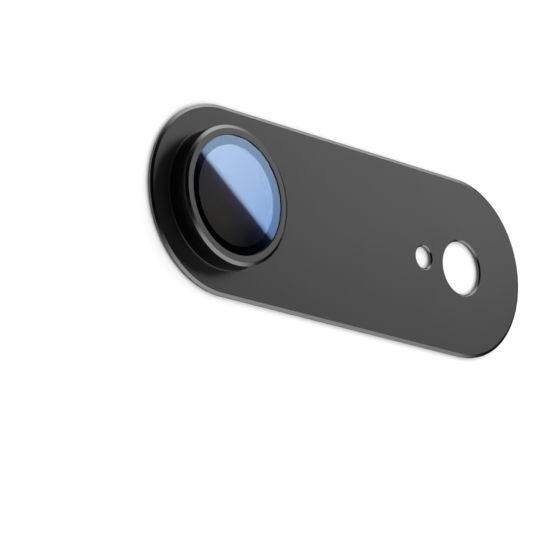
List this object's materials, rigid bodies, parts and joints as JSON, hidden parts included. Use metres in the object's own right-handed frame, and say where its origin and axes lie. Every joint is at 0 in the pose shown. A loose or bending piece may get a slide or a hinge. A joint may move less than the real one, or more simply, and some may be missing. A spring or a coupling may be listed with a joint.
{
  "type": "phone camera lens protector",
  "caption": "Stick-on phone camera protector: thin round-ended anodised plate, raised lens ring with glass cover and printed border, and through holes for the flash and microphone.",
  "frame": {"origin": "middle of the adhesive face, on the surface that the part is stuck to", "axes": "+Z out of the plate's face, the way the lens looks; +X along the plate from the lens ring to the flash hole; +Y across the plate"},
  "size_m": [0.0684, 0.0244, 0.0036],
  "materials": {
    "anodised_plate": "satin",
    "anodised_ring": "gloss",
    "cover_glass": "gloss",
    "border_ink": "gloss",
    "clear_bond": "satin",
    "adhesive_film": "matte"
  },
  "bodies": {
    "root": {"face_plate": "anodised_plate", "lens_ring": "anodised_ring", "lens_glass": "cover_glass", "border_print": "border_ink", "seat_adhesive": "clear_bond", "foot_adhesive": "clear_bond", "back_adhesive": "adhesive_film"}
  },
  "joints": []
}
